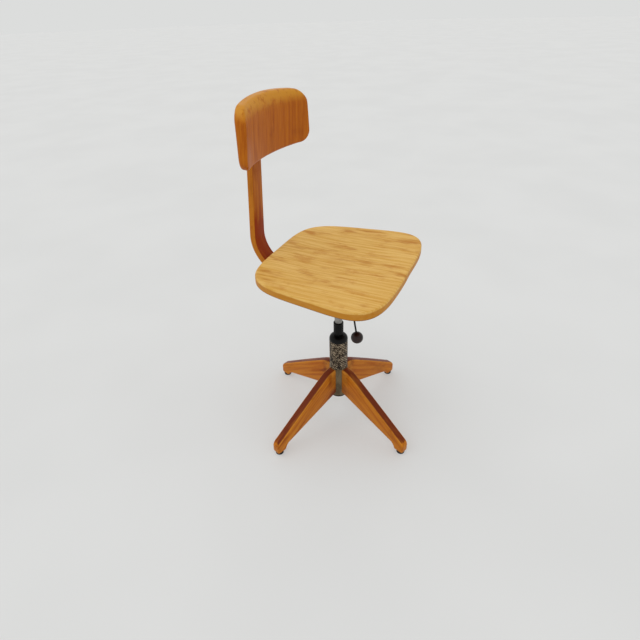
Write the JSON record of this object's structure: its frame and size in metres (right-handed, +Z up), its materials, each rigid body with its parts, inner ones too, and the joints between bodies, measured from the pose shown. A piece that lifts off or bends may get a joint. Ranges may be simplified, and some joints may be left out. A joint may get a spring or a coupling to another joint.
{
  "type": "drafting chair",
  "caption": "Swivel work chair: dished wooden seat and curved backrest on a bent wooden post, round lockable column, ball release lever and a splayed wooden cross base.",
  "frame": {"origin": "on the column's axis at the floor", "axes": "+Z up the column; the sitter faces -Y; the sitter's left is +X; the back post stands at +Y"},
  "size_m": [0.4724, 0.4724, 0.8763],
  "materials": {
    "leg_wood": "aged amber varnish over beech, darker on top",
    "seat_wood": "worn honey varnish",
    "back_wood": "deep orange-brown varnish",
    "post_wood": "bent laminated wood, orange-brown varnish",
    "dowel_wood": "plain",
    "hub_enamel": "worn olive-grey enamel",
    "sleeve_metal": "knurled and darkened with age",
    "black_enamel": "semi-gloss black",
    "bracket_enamel": "satin black",
    "cast_metal": "machined",
    "bright_steel": "dull bright",
    "bakelite": "mottled dark brown, moulded",
    "glide_rubber": "moulded"
  },
  "bodies": {
    "base": {"leg_1": "leg_wood", "leg_2": "leg_wood", "leg_3": "leg_wood", "leg_4": "leg_wood", "glide_1": "glide_rubber", "glide_2": "glide_rubber", "glide_3": "glide_rubber", "glide_4": "glide_rubber", "glide_nails": "bright_steel", "leg_studs": "bright_steel", "leg_dowels": "dowel_wood", "leg_washers": "bright_steel", "leg_nuts": "bright_steel", "hub_tube": "hub_enamel", "column_sleeve": "sleeve_metal", "liner_tube": "bright_steel", "bottom_cap": "black_enamel", "column_cap": "black_enamel", "guide_bush": "cast_metal", "guide_collar": "black_enamel", "collar_screw": "black_enamel"},
    "spindle": {"spindle": "bright_steel", "locking_shoe": "cast_metal", "lower_race": "bright_steel", "bearing_balls": "bright_steel", "retaining_nut": "bright_steel", "release_spring": "bright_steel"},
    "release": {"release_rod": "bright_steel", "wedge_cone": "cast_metal"},
    "seat": {"seat_board": "seat_wood", "seat_plate": "bracket_enamel", "upper_race": "bright_steel", "seat_screws": "bright_steel", "post_guide": "bracket_enamel", "guide_screws": "bright_steel", "lever_pin": "bright_steel"},
    "lever": {"lever_crank": "black_enamel", "lever_rod": "black_enamel", "ball_knob": "bakelite"},
    "clamp": {"clamp_screw": "bright_steel", "clamp_knob": "black_enamel"},
    "post": {"back_post": "post_wood", "pivot_bracket": "bracket_enamel", "bracket_bolts": "bright_steel", "pivot_pin": "bright_steel"},
    "backrest": {"backrest_board": "back_wood", "backrest_plate": "bracket_enamel", "backrest_screws": "bright_steel"}
  },
  "joints": [
    {"name": "height_slide", "type": "slide", "parent": "base", "child": "spindle", "axis": [0, 0, 1], "range_m": [-0.02, 0.08]},
    {"name": "seat_swivel", "type": "hinge", "parent": "spindle", "child": "seat", "pos_m": [0, 0, 0.41], "axis": [0, 0, 1], "continuous": true},
    {"name": "lever_hinge", "type": "hinge", "parent": "seat", "child": "lever", "pos_m": [-0.01859, -0.03199, 0.469], "axis": [-0.8647, 0.5023, 0], "range_deg": [0, 7.5], "stiffness_Nm_per_rad": 1, "springref_deg": -8.59},
    {"name": "release_slide", "type": "slide", "parent": "spindle", "child": "release", "axis": [0, 0, -1], "range_m": [0, 0.005], "deforming": ["release_spring"]},
    {"name": "post_slide", "type": "slide", "parent": "seat", "child": "post", "axis": [0, 1, 0], "range_m": [-0.022, 0.022]},
    {"name": "clamp_turn", "type": "hinge", "parent": "seat", "child": "clamp", "pos_m": [0, 0.078, 0.41], "axis": [0, 0, 1], "range_deg": [-180, 180]},
    {"name": "backrest_tilt", "type": "hinge", "parent": "post", "child": "backrest", "pos_m": [0, 0.19451, 0.8115], "axis": [1, 0, 0], "range_deg": [-8, 12]}
  ],
  "couplings": [
    {"joint": "release_slide", "follows": "lever_hinge", "m_per_rad": 0.037}
  ]
}
